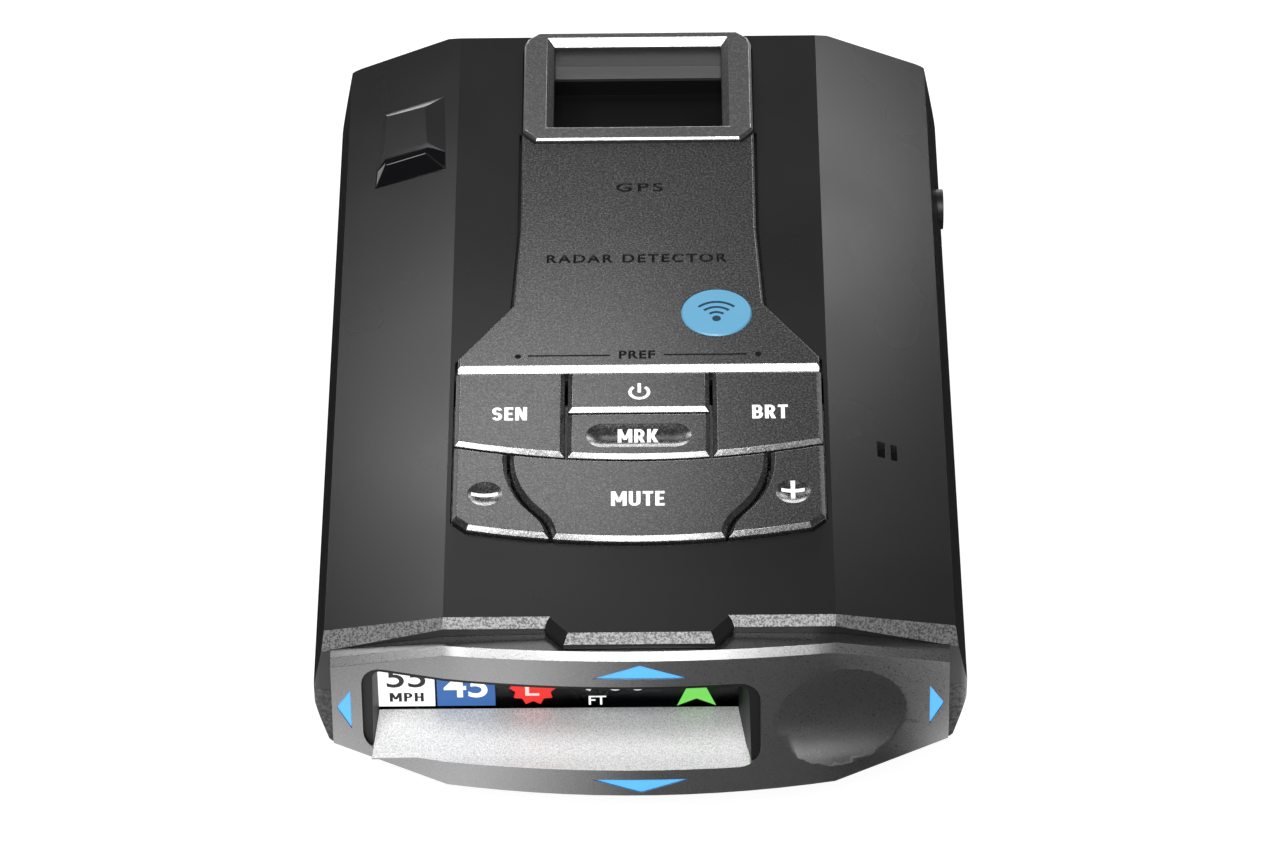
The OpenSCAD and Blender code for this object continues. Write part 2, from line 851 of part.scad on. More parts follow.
module mount_socket() color("#4a4b4e") {
    pocket = [
        [-pocket_half, pocket_y[0]], [pocket_half, pocket_y[0]],
        [pocket_half, pocket_y[1]], [-pocket_half, pocket_y[1]]
    ];
    difference() {
        union() {
            loft([
                at_z(socket_outline, panel_seat_z),
                at_z(socket_outline, socket_top_z - 0.35),
                at_z(inset(socket_outline, 0.35), socket_top_z)
            ]);
            box([-socket_block_half, socket_block[0], socket_bottom_z], [socket_block_half, socket_block[1], panel_seat_z + 0.1]);
        }
        loft([
            at_z(pocket, ledge_z),
            at_z(pocket, socket_top_z - pocket_rim),
            at_z(inset(pocket, -pocket_rim - 0.2), socket_top_z + 0.2)
        ]);
        box([-pocket_half, pocket_y[0], pocket_floor_z], [pocket_half, ledge_y, ledge_z + 0.1]);
        for (s = [-1, 1])
            translate([s * 7, 54, socket_bottom_z - 0.5])
                cylinder(r = 4.05, h = 1.35);
    }
}

module mount_magnets() color("#c9ccd0") {
    for (s = [-1, 1])
        translate([s * 7, 54, socket_bottom_z - 0.45])
            cylinder(r = 4, h = 1.3);
}

// ---------- laser bump and light sensor on the facets ----------

facet_slope = (deck_z - edge_z) / (edge_half - crease_half);
function facet_z(x) = deck_z - (abs(x) - crease_half) * facet_slope;
function on_facet(p, rise) = [for (q = p) [q[0], q[1], facet_z(q[0]) + rise]];

module bump_hood() {
    loft([on_facet(bump_base, -1), on_facet(bump_base, 0), on_facet(bump_top, bump_rise)]);
}

module bump_lens_form(grow) {
    loft([
        on_facet(inset(bump_lens_base, -grow), -wall - 0.5),
        on_facet(inset(bump_lens_base, -grow), 0),
        on_facet(inset(bump_lens_top, -grow), bump_lens_rise)
    ]);
}

module bump_lens_seat() {
    bump_lens_form(clear);
}

module rear_laser_lens() color("#0d0d10") bump_lens_form(0);

module rear_laser_sensor() color("#355c7d") {
    box([-36, 38.5, 23.4], [-29.5, 45, 24.4]);
    translate([-32.8, 41.5, 24.4])
        cylinder(r = 2.4, h = 2.2);
}

module light_slots() {
    for (slot = [[33.4, 1.1], [35.3, 0.9]])
        box([slot[0], -24.7, 20], [slot[0] + slot[1], -21.5, 40]);
}

module light_sensor_lens() color("#101012") {
    low = facet_z(36.6) - 3.4;
    box([32.8, -25.3, low], [36.8, -20.9, low + 1]);
    for (slot = [[33.4, 1.1], [35.3, 0.9]])
        box([slot[0] + clear, -24.7 + clear, low], [slot[0] + slot[1] - clear, -21.5 - clear, facet_z(slot[0] + slot[1]) - 0.5]);
}

// ---------- keypad inside ----------

module dome_mat() color("#c8c8c0") {
    box([-26.6, -44.5, key_board_z], [26.6, -10.2, key_board_z + 0.8]);
    for (p = key_centres)
        translate([p[0], p[1], key_board_z + 0.7])
            cylinder(r1 = 3.1, r2 = 2.1, h = dome_top_z - key_board_z - 0.7);
}

module key_board() color("#1f6b45") {
    difference() {
        box([-31, -44.5, key_board_z - 1.2], [31, -10.2, key_board_z]);
        for (s = [-1, 1], y = key_screw_y)
            translate([s * key_screw_x, y, 20])
                cylinder(r = 0.9, h = 20);
    }
}

module screw(shaft_r, shaft_h, head_r, head_h) {
    difference() {
        union() {
            cylinder(r = head_r, h = head_h);
            translate([0, 0, head_h - 0.01])
                cylinder(r = shaft_r, h = shaft_h);
        }
        for (a = [0, 90])
            rotate([0, 0, a])
                translate([-head_r * 0.6, -0.22, -1])
                    cube([head_r * 1.2, 0.44, 1 + head_h * 0.6]);
    }
}

module key_board_screws() color("#b0b2b5") {
    for (s = [-1, 1], y = key_screw_y)
        translate([s * key_screw_x, y, key_board_z - 2.2])
            screw(0.75, 3.8, 1.5, 1);
}

// ---------- windscreen end ----------

module front_laser_lens() color("#3a1418") {
    translate([front_lens[0], half_length - 4.4, front_lens[1]]) rotate([-90, 0, 0]) {
        cylinder(r = front_lens_r, h = 2.4);
        translate([0, 0, 2.4])
            cylinder(r1 = front_lens_r, r2 = front_lens_r - 1.6, h = 1);
        translate([0, 0, -0.8])
            cylinder(r = front_lens_r + 0.6, h = 0.9);
    }
}

module front_laser_sensor() color("#355c7d") {
    box([front_lens[0] - 5, 58.4, front_lens[1] - 4.4], [front_lens[0] + 5, 59.4, front_lens[1] + 4]);
    translate([front_lens[0], 59.4, front_lens[1]]) rotate([-90, 0, 0])
        cylinder(r = 2.6, h = 2.5);
}

module power_jack() color("#1a1a1c") {
    top = board_top_z + 12;
    difference() {
        box([power_x - 6.5, 51, board_top_z], [power_x + 6.5, 67.2, top]);
        box([power_x - 4.8, 54, board_top_z + 3.2], [power_x + 4.8, 70, top - 1.8]);
        box([power_x - 2, 54, board_top_z + 1.5], [power_x + 2, 70, board_top_z + 4]);
    }
    for (i = [-2.5:2.5])
        box([power_x + i * 1.1 - 0.25, 55, top - 2.6], [power_x + i * 1.1 + 0.25, 64, top - 1.7]);
}

// ---------- right side ----------

module headphone_jack() color("#151517") {
    front = half_width + jack_reach;
    difference() {
        union() {
            box([30.5, jack_y - 4, board_top_z], [41.2, jack_y + 4, seam_z + 3.4]);
            translate([40, jack_y, seam_z]) rotate([0, 90, 0])
                cylinder(r = jack_collar_r, h = front - 40);
        }
        translate([32, jack_y, seam_z]) rotate([0, 90, 0])
            cylinder(r = jack_bore_r, h = 20);
    }
}

module usb_port() color("#b9bcc0") {
    difference() {
        box([34.5, usb_y - 3.7, board_top_z], [43.4, usb_y + 3.7, usb_z + 2.8]);
        box([36, usb_y - 3.3, board_top_z + 0.4], [50, usb_y + 3.3, usb_z + 2.4]);
    }
    box([35.5, usb_y - 2.4, usb_z + 1], [42.6, usb_y + 2.4, usb_z + 1.6]);
}

// ---------- electronics ----------

module main_board() color("#1d5c3c") {
    difference() {
        box([-board_half, board_y[0], board_z], [board_half, board_y[1], board_top_z]);
        for (p = board_screw_xy)
            translate([p[0], p[1], 0])
                cylinder(r = 1.3, h = 20);
    }
}

module board_screws() color("#b0b2b5") {
    for (p = board_screw_xy)
        translate([p[0], p[1], board_top_z + 1.4]) mirror([0, 0, 1])
            screw(1, 6, 2.3, 1.4);
}

module case_screws() color("#b0b2b5") {
    for (p = case_screw_xy)
        translate([p[0], p[1], 1.7])
            screw(1.2, 24, 2.2, 1.7);
}

module processor() color("#18181a") {
    translate([-9, -30, board_top_z])
        cube([14, 14, 1.4]);
}

module memory_chips() color("#202022") {
    for (y = [-32, -22])
        translate([8, y, board_top_z])
            cube([8, 7, 1.1]);
}

module shield_can() color("#c4c6c8") {
    difference() {
        translate([-34, -18, board_top_z])
            cube([20, 30, 4.5]);
        translate([-33.7, -17.7, board_top_z - 1])
            cube([19.4, 29.4, 5.2]);
        for (i = [0:3], j = [0:5])
            translate([-31 + 4.6 * i, -15.5 + 5 * j, board_top_z + 3])
                cylinder(r = 0.6, h = 3, $fn = 16);
    }
}

module capacitors() color("#8a8f96") {
    for (p = [[-33, 20], [-33, 29], [26, 12], [34, 8], [34, -2]])
        translate([p[0], p[1], board_top_z]) {
            cylinder(r = 3.1, h = 0.8);
            translate([0, 0, 0.8])
                cylinder(r = 2.9, h = 5.2);
        }
}

module inductors() color("#3b3b3d") {
    for (y = [20, 29])
        translate([-28, y, board_top_z])
            cube([6, 6, 3.2]);
}

module wireless_module() color("#9aa0a4") {
    translate([20, 24, board_top_z])
        cube([13, 14, 0.8]);
    translate([21, 25, board_top_z + 0.8])
        cube([11, 9, 1.8]);
}

module gps_antenna() color("#d8cfae") {
    translate([-10, 21, 27.6])
        cube([20, 20, 0.9]);
    translate([-9, 22, 28.5])
        cube([18, 18, 3.4]);
}

// Horn with its mouth at y = 0, looking along +Y, on the plane z = 0
module horn(half, height, length) {
    throat = 5;
    mid = height / 2;
    difference() {
        union() {
            hull() {
                box([-half, -1.5, 0], [half, 0, height]);
                box([-throat - 2, -length, mid - 4.5], [throat + 2, -length + 1, mid + 4.5]);
            }
            box([-throat - 2.5, -length - 7, 0], [throat + 2.5, -length + 1, mid + 4.5]);
        }
        hull() {
            box([-half + 1.2, -0.5, 1.2], [half - 1.2, 1, height - 1.2]);
            box([-throat, -length, mid - 2.5], [throat, -length + 1, mid + 2.5]);
        }
        box([-throat, -length - 5, mid - 2.5], [throat, -length + 1, mid + 2.5]);
    }
}

module front_horn_antenna() color("#a7a9ac") {
    translate([0, 60.5, board_top_z])
        horn(front_horn_half, 14, 34);
}

module rear_horn_antenna() color("#a7a9ac") {
    translate([28.5, -46, board_top_z]) rotate([0, 0, 180])
        horn(rear_horn_half, 14, 26);
}

module speaker() color("#2c2c2e") {
    translate([speaker_xy[0], speaker_xy[1], 0]) {
        difference() {
            translate([0, 0, 2.6])
                cylinder(r = speaker_r, h = 1.6);
            translate([0, 0, 2])
                cylinder(r = speaker_r - 1.5, h = 1.5);
        }
        translate([0, 0, 4.2])
            cylinder(r1 = speaker_r - 2, r2 = 8, h = 1.8);
        translate([0, 0, 6])
            cylinder(r = 7.5, h = 2.8);
    }
}

module speaker_gasket() color("#3c3c3c") {
    translate([speaker_xy[0], speaker_xy[1], wall])
        difference() {
            cylinder(r = speaker_r, h = 0.6);
            translate([0, 0, -1])
                cylinder(r = speaker_r - 1.6, h = 3);
        }
}

module rating_label() color("#b5b6b8") {
    box([-23.8, 15.2, 0.06], [23.8, 44.8, 0.3]);
}

top_shell();
bottom_shell();
front_bezel();
control_panel();
badge_disc();
mount_socket();
mount_magnets();
key_sensitivity();
key_power();
key_mark();
key_brightness();
key_volume_down();
key_mute();
key_volume_up();
dome_mat();
key_board();
key_board_screws();
display_tunnel();
display_window();
display_module();
display_board();
display_ribbon();
arrow_up();
arrow_down();
arrow_left();
arrow_right();
arrow_leds();
rear_laser_lens();
rear_laser_sensor();
front_laser_lens();
front_laser_sensor();
light_sensor_lens();
main_board();
board_screws();
case_screws();
processor();
memory_chips();
shield_can();
capacitors();
inductors();
wireless_module();
gps_antenna();
front_horn_antenna();
rear_horn_antenna();
speaker();
speaker_gasket();
headphone_jack();
usb_port();
power_jack();
rating_label();
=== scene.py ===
import math

import bmesh
import bpy
from mathutils import Matrix, Vector
from mathutils.geometry import delaunay_2d_cdt


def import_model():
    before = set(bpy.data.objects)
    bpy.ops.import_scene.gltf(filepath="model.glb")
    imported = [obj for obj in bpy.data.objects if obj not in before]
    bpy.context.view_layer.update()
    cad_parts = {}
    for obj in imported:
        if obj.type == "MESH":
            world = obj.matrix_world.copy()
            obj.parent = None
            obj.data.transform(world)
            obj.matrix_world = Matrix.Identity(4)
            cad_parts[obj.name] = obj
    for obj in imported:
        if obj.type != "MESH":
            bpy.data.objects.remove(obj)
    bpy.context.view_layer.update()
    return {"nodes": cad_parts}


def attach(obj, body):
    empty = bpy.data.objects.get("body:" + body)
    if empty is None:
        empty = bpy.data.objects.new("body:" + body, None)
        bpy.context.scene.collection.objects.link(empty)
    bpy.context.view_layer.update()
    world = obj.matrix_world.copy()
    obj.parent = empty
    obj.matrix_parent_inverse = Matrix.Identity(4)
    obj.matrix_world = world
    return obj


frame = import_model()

# The windscreen radar detector: materials, soft edges, legends and display content round the CAD frame.
# Lengths are in metres; MM turns millimetres, used for everything drawn from part.scad, into metres.
MM = 0.001
nodes = frame["nodes"]

# Heights on the CAD pieces: the top of the keys and the panel in millimetres, the mount socket's in metres
KEY_TOP_Z = 35.1
LEDGE_Z = 0.0307
RIM_Z = 0.0343


def link(obj):
    bpy.context.scene.collection.objects.link(obj)
    return obj


# ---------- camera ----------

# Fitted to the photograph: directions, a place in millimetres, and the focal length and width in its pixels
CAMERA_RIGHT = (0.99995046, -0.00194651, -0.00976155)
CAMERA_UP = (0.00855164, 0.66986369, 0.74243485)
CAMERA_PLACE = (4.6117, -668.0474, 618.1462)
FOCAL_LENGTH = 6215.275
PICTURE_WIDTH = 1280
SENSOR_WIDTH = 36


def add_camera():
    data = bpy.data.cameras.new("camera")
    cam = link(bpy.data.objects.new("camera", data))
    right, up = Vector(CAMERA_RIGHT), Vector(CAMERA_UP)
    turn = Matrix((right, up, right.cross(up))).transposed().to_4x4()
    cam.matrix_world = Matrix.Translation(Vector(CAMERA_PLACE) * MM) @ turn
    data.lens = FOCAL_LENGTH / PICTURE_WIDTH * SENSOR_WIDTH
    data.sensor_width = SENSOR_WIDTH
    data.clip_start = 0.05
    data.clip_end = 60
    bpy.context.scene.camera = cam


add_camera()


# ---------- node helpers ----------

class Shader:
    """A material being built: its node tree, its Principled shader and short ways to add nodes."""

    def __init__(self, name):
        self.mat = bpy.data.materials.new(name)
        self.mat.use_nodes = True
        self.tree = self.mat.node_tree
        self.tree.nodes.clear()
        self.out = self.tree.nodes.new("ShaderNodeOutputMaterial")
        self.bsdf = self.tree.nodes.new("ShaderNodeBsdfPrincipled")
        self.link(self.bsdf.outputs[0], self.out.inputs[0])
        self.coords = self.tree.nodes.new("ShaderNodeTexCoord").outputs["Object"]
        self.geometry = self.tree.nodes.new("ShaderNodeNewGeometry")

    def link(self, a, b):
        self.tree.links.new(a, b)

    def put(self, socket, value):
        if isinstance(value, bpy.types.NodeSocket):
            self.link(value, socket)
        else:
            socket.default_value = value

    def set(self, **values):
        for name, value in values.items():
            self.put(self.bsdf.inputs[name.replace("_", " ").title()], value)
        return self

    def noise(self, size_mm, detail=2.0, rough=0.5):
        n = self.tree.nodes.new("ShaderNodeTexNoise")
        n.inputs["Scale"].default_value = 1 / (size_mm * MM)
        n.inputs["Detail"].default_value = detail
        n.inputs["Roughness"].default_value = rough
        self.link(self.coords, n.inputs["Vector"])
        return n.outputs["Fac"]

    def cells(self, size_mm, output="Color"):
        n = self.tree.nodes.new("ShaderNodeTexVoronoi")
        n.inputs["Scale"].default_value = 1 / (size_mm * MM)
        self.link(self.coords, n.inputs["Vector"])
        return n.outputs[output]

    def remap(self, value, low, high, to_low=0.0, to_high=1.0, smooth=True):
        n = self.tree.nodes.new("ShaderNodeMapRange")
        n.interpolation_type = "SMOOTHSTEP" if smooth else "LINEAR"
        names = ("Value", "From Min", "From Max", "To Min", "To Max")
        for key, setting in zip(names, (value, low, high, to_low, to_high)):
            self.put(n.inputs[key], setting)
        return n.outputs[0]

    def math(self, op, a, b=0.0):
        n = self.tree.nodes.new("ShaderNodeMath")
        n.operation = op
        self.put(n.inputs[0], a)
        self.put(n.inputs[1], b)
        return n.outputs[0]

    def split(self, vector):
        n = self.tree.nodes.new("ShaderNodeSeparateXYZ")
        self.link(vector, n.inputs[0])
        return n.outputs

    def mix(self, fac, a, b):
        n = self.tree.nodes.new("ShaderNodeMix")
        n.data_type = "RGBA"
        self.put(n.inputs["Factor"], fac)
        self.put(n.inputs[6], rgba(a) if isinstance(a, tuple) else a)
        self.put(n.inputs[7], rgba(b) if isinstance(b, tuple) else b)
        return n.outputs[2]

    def ramp(self, value, stops):
        n = self.tree.nodes.new("ShaderNodeValToRGB")
        while len(n.color_ramp.elements) < len(stops):
            n.color_ramp.elements.new(0.5)
        for element, (place, level) in zip(n.color_ramp.elements, stops):
            element.position = place
            element.color = (level, level, level, 1)
        self.put(n.inputs[0], value)
        return n.outputs[0]

    def bump(self, height, strength, distance_mm, onto=None):
        n = self.tree.nodes.new("ShaderNodeBump")
        self.put(n.inputs["Strength"], strength)
        n.inputs["Distance"].default_value = distance_mm * MM
        self.put(n.inputs["Height"], height)
        if onto is not None:
            self.link(onto, n.inputs["Normal"])
        return n.outputs[0]


def rgba(c):
    return (c[0], c[1], c[2], 1.0)


# ---------- materials ----------

def casing_plastic():
    """Near-black moulded plastic, fine on the deck and coarse on the bevel of the front lip, where a lighter,
    half-metallic colour stands in as a painted highlight.

    The bevel is what lies near the front end, faces forwards and up, and isn't a side corner."""
    s = Shader("casing_plastic")
    y = s.split(s.coords)[1]
    nx, ny, nz = s.split(s.geometry.outputs["Normal"])
    front = s.remap(y, -0.0535, -0.0548)
    tilted = s.math("MULTIPLY", s.remap(ny, -0.30, -0.45), s.remap(nz, 0.15, 0.35))
    tilted = s.math("MULTIPLY", tilted, s.remap(s.math("ABSOLUTE", nx), 0.50, 0.42))
    lip = s.math("MULTIPLY", front, tilted)
    fine = s.noise(0.22, 3.0, 0.6)
    coarse = s.noise(0.30, 2.0, 0.6)
    wide = s.noise(28.0, 2.0, 0.5)
    body = s.mix(fine, (0.0095, 0.0088, 0.0088), (0.0150, 0.0138, 0.0138))
    # Painted highlight: the lip's bevel takes a lighter speckle in place of the front light it mirrors
    painted_glint = s.mix(s.remap(coarse, 0.36, 0.60), (0.08, 0.08, 0.08), (0.25, 0.25, 0.25))
    rough = s.remap(wide, 0.3, 0.7, 0.27, 0.31)
    s.set(base_color=s.mix(lip, body, painted_glint),
          roughness=s.remap(lip, 0.0, 1.0, rough, 0.40, smooth=False),
          metallic=s.math("MULTIPLY", lip, 0.5))
    s.bsdf.inputs["Specular IOR Level"].default_value = 0.42
    fine_bump = s.bump(fine, 0.22, 0.03)
    lip_bump = s.bump(coarse, s.math("MULTIPLY", lip, 0.6), 0.08, fine_bump)
    s.set(normal=lip_bump)
    return s.mat


def coarse_plastic():
    """The lower shell's spark-eroded texture."""
    s = Shader("coarse_plastic")
    grain = s.noise(0.5, 2.5, 0.6)
    s.set(base_color=s.mix(s.remap(grain, 0.35, 0.7), (0.012, 0.012, 0.0125), (0.06, 0.06, 0.062)),
          roughness=s.remap(grain, 0.3, 0.7, 0.52, 0.38))
    s.set(normal=s.bump(grain, 0.7, 0.10))
    return s.mat


def metallic_paint(name, low, high, roughness, flake, metallic, bump):
    """Paint with metal flakes, each of which takes its own brightness and tilt."""
    s = Shader(name)
    flakes = s.split(s.cells(flake))[0]
    grain = s.noise(flake * 1.6, 2.0, 0.6)
    sparkle = s.math("MULTIPLY", flakes, s.remap(grain, 0.35, 0.65))
    s.set(base_color=s.mix(sparkle, low, high),
          roughness=s.remap(grain, 0.3, 0.7, roughness - 0.05, roughness + 0.05))
    s.bsdf.inputs["Metallic"].default_value = metallic
    s.set(normal=s.bump(flakes, bump, 0.008, s.bump(grain, bump, 0.010)))
    return s


def fascia_paint():
    """Satin grey metallic paint; the display recess's floor, the same paint, is painted a brighter near-white
    and made less metallic, as painted light from above.

    The floor is what looks up at its height, between the window's sides and behind its front edge."""
    s = metallic_paint("fascia_paint", (0.30, 0.30, 0.302), (0.38, 0.38, 0.385), 0.32, 0.12, 1.0, 0.03)
    x, y, z = s.split(s.coords)
    nz = s.split(s.geometry.outputs["Normal"])[2]
    # Painted light: the upward-facing floor of the display recess takes a brighter colour for the light that
    # falls on it from above
    painted_light_floor = s.math("MULTIPLY", s.remap(nz, 0.8, 0.9),
                   s.math("MULTIPLY", s.remap(z, 0.0122, 0.0127), s.remap(z, 0.0162, 0.0155)))
    inside = s.math("MULTIPLY", s.remap(y, -0.0690, -0.0683), s.remap(x, -0.0378, -0.0366))
    painted_light_floor = s.math("MULTIPLY", painted_light_floor, s.math("MULTIPLY", inside, s.remap(x, 0.0161, 0.0149)))
    paint = s.bsdf.inputs["Base Color"].links[0].from_socket
    speckle = s.noise(0.20, 2.0, 0.7)
    # The painted light's speckled near-white colour
    painted_light_colour = s.mix(s.remap(speckle, 0.34, 0.62), (0.58, 0.58, 0.585), (0.92, 0.92, 0.92))
    s.set(base_color=s.mix(painted_light_floor, paint, painted_light_colour),
          metallic=s.remap(painted_light_floor, 0.0, 1.0, 1.0, 0.15, smooth=False))
    return s.mat


def socket_finish():
    """The panel's paint on the rim; a darker grey below the rim down to the ledge, and near black, rough and
    dull below the ledge.
    """
    s = metallic_paint("socket_paint", (0.26, 0.26, 0.262), (0.50, 0.50, 0.505), 0.30, 0.17, 0.9, 0.07)
    z = s.split(s.coords)[2]
    painted = s.remap(z, LEDGE_Z - 0.0005, LEDGE_Z - 0.0002)
    paint = s.bsdf.inputs["Base Color"].links[0].from_socket
    inner = s.mix(s.remap(z, RIM_Z - 0.0002, RIM_Z), (0.16, 0.16, 0.162), paint)
    s.set(base_color=s.mix(painted, (0.004, 0.004, 0.004), inner),
          metallic=s.math("MULTIPLY", painted, 0.9),
          roughness=s.remap(painted, 0.0, 1.0, 0.6, 0.30))
    s.bsdf.inputs["Specular IOR Level"].default_value = 0.15
    return s.mat


def plain_plastic(name, colour, roughness, spread=0.25, size=0.4, bump=0.08):
    """Moulded plastic with a slight grain and a little unevenness of colour and gloss."""
    s = Shader(name)
    grain = s.noise(size, 3.0, 0.6)
    patch = s.noise(size * 25, 2.0, 0.5)
    dark = tuple(c * (1 - spread) for c in colour)
    s.set(base_color=s.mix(grain, dark, colour),
          roughness=s.remap(patch, 0.3, 0.7, roughness - 0.05, roughness + 0.05))
    s.set(normal=s.bump(grain, bump, 0.02))
    return s.mat


def metal(name, colour, roughness, size=0.3):
    """Plated or die-cast metal with a fine grain."""
    s = Shader(name)
    grain = s.noise(size, 3.0, 0.65)
    dark = tuple(c * 0.75 for c in colour)
    s.set(base_color=s.mix(grain, dark, colour),
          roughness=s.remap(grain, 0.3, 0.7, roughness - 0.06, roughness + 0.08))
    s.bsdf.inputs["Metallic"].default_value = 1.0
    s.set(normal=s.bump(grain, 0.08, 0.02))
    return s.mat


def circuit_board(name, mask, pads):
    """Solder mask with rows of tinned pads showing in places."""
    s = Shader(name)
    cell = s.cells(1.7, "Distance")
    field = s.noise(9.0, 2.0, 0.5)
    dot = s.math("MULTIPLY", s.remap(cell, 0.24, 0.2), s.remap(field, 0.5, 0.52))
    grain = s.noise(0.6, 2.0, 0.5)
    base = s.mix(grain, tuple(c * 0.7 for c in mask), mask)
    s.set(base_color=s.mix(dot, base, pads), roughness=s.remap(grain, 0.3, 0.7, 0.32, 0.42))
    s.set(normal=s.bump(dot, 0.2, 0.03))
    return s.mat


def glowing(name, colour, strength, roughness=0.35, cloud=0.12):
    """A lit piece, a little uneven as a light guide is."""
    s = Shader(name)
    drift = s.noise(2.4, 2.0, 0.5)
    dim = tuple(c * (1 - cloud) for c in colour)
    tint = s.mix(drift, dim, colour)
    s.set(base_color=s.mix(drift, tuple(c * 0.5 for c in dim), tuple(c * 0.5 for c in colour)),
          emission_color=tint)
    s.bsdf.inputs["Roughness"].default_value = roughness
    s.bsdf.inputs["Emission Strength"].default_value = strength
    return s.mat


def ink(name, colour, roughness=0.5, glow=0.0, specular=0.5):
    """Pad-printed ink with slightly uneven cover; glow gives it light of its own, a painted glow, since no
    lamp lies behind it.
    """
    s = Shader(name)
    grain = s.noise(0.12, 2.0, 0.6)
    s.set(base_color=s.mix(grain, tuple(c * 0.86 for c in colour), colour),
          roughness=s.remap(grain, 0.3, 0.7, roughness - 0.06, roughness + 0.06))
    s.set(normal=s.bump(grain, 0.05, 0.01), emission_color=rgba(colour))
    s.bsdf.inputs["Emission Strength"].default_value = glow
    s.bsdf.inputs["Specular IOR Level"].default_value = specular
    return s.mat


def clear_window():
    """A thin clear lens, so slightly refracting that the display behind it stays in place."""
    s = Shader("clear_window")
    smear = s.noise(6.0, 3.0, 0.5)
    s.set(base_color=(1, 1, 1, 1), roughness=s.remap(smear, 0.3, 0.7, 0.02, 0.06))
    s.bsdf.inputs["Transmission Weight"].default_value = 1.0
    s.bsdf.inputs["IOR"].default_value = 1.05
    return s.mat


gunmetal = metallic_paint(
    "gunmetal_paint", (0.15, 0.15, 0.152), (0.36, 0.36, 0.37), 0.27, 0.17, 0.92, 0.035).mat
socket_paint = socket_finish()
chip = plain_plastic("chip_package", (0.014, 0.014, 0.016), 0.45)
board_green = circuit_board("board_green", (0.02, 0.14, 0.07), (0.55, 0.50, 0.38))
board_blue = circuit_board("board_blue", (0.03, 0.08, 0.20), (0.55, 0.50, 0.38))
zinc = metal("zinc_plate", (0.55, 0.56, 0.58), 0.34)
tin = metal("tin_plate", (0.60, 0.61, 0.62), 0.30)
lens_black = plain_plastic("lens_black", (0.004, 0.004, 0.005), 0.10, 0.2, 3.0, 0.02)
arrow_blue = glowing("arrow_blue", (0.10, 0.47, 1.0), 0.75)
socket_black = plain_plastic("socket_black", (0.010, 0.010, 0.011), 0.42)

LOOKS = {
    "top_shell": casing_plastic(),
    "bottom_shell": coarse_plastic(),
    "front_bezel": fascia_paint(),
    "control_panel": gunmetal,
    "badge_disc": plain_plastic("badge_blue", (0.15, 0.44, 0.68), 0.35, 0.06, 0.3, 0.03),
    "mount_socket": socket_paint,
    "mount_magnets": metal("nickel_plate", (0.62, 0.62, 0.60), 0.22),
    "dome_mat": plain_plastic("silicone", (0.55, 0.55, 0.50), 0.55, 0.1, 0.8, 0.05),
    "key_board": board_green,
    "display_tunnel": plain_plastic("tunnel_black", (0.006, 0.006, 0.007), 0.55),
    "display_window": clear_window(),
    "display_module": plain_plastic("display_black", (0.004, 0.004, 0.005), 0.30, 0.2, 2.0, 0.02),
    "display_board": board_green,
    "display_ribbon": plain_plastic("ribbon_amber", (0.45, 0.22, 0.05), 0.35, 0.2, 0.8, 0.05),
    "arrow_leds": plain_plastic("led_white", (0.80, 0.78, 0.60), 0.35, 0.1, 0.4, 0.05),
    "rear_laser_lens": lens_black,
    "rear_laser_sensor": board_blue,
    "front_laser_lens": plain_plastic("lens_red", (0.07, 0.006, 0.010), 0.08, 0.2, 3.0, 0.02),
    "front_laser_sensor": board_blue,
    "light_sensor_lens": lens_black,
    "main_board": board_green,
    "processor": chip,
    "memory_chips": chip,
    "inductors": chip,
    "shield_can": tin,
    "capacitors": metal("can_aluminium", (0.66, 0.67, 0.70), 0.32),
    "wireless_module": tin,
    "gps_antenna": plain_plastic("patch_ceramic", (0.62, 0.55, 0.38), 0.5, 0.1, 0.5, 0.05),
    "front_horn_antenna": metal("die_cast", (0.50, 0.51, 0.52), 0.45, 0.5),
    "speaker": plain_plastic("speaker_black", (0.035, 0.035, 0.037), 0.5, 0.3, 0.5, 0.1),
    "speaker_gasket": plain_plastic("foam_black", (0.03, 0.03, 0.03), 0.9, 0.5, 0.5, 0.4),
    "headphone_jack": socket_black,
    "usb_port": zinc,
    "power_jack": socket_black,
    "rating_label": metal("label_foil", (0.62, 0.62, 0.63), 0.38, 0.5),
}
LOOKS["rear_horn_antenna"] = LOOKS["front_horn_antenna"]
for name in ("case_screws", "board_screws", "key_board_screws"):
    LOOKS[name] = zinc
for name in ("arrow_up", "arrow_down", "arrow_left", "arrow_right"):
    LOOKS[name] = arrow_blue
for name in nodes:
    if name.startswith("key_") and name not in LOOKS:
        LOOKS[name] = gunmetal
for name, obj in nodes.items():
    obj.data.materials.clear()
    obj.data.materials.append(LOOKS[name])


# ---------- soft edges on the CAD pieces ----------

SHARP_ANGLE = math.radians(32)
FACET_AREA = 40 * MM * MM
WELD_DISTANCE = 2e-6
FLAT_ANGLE = math.radians(0.25)


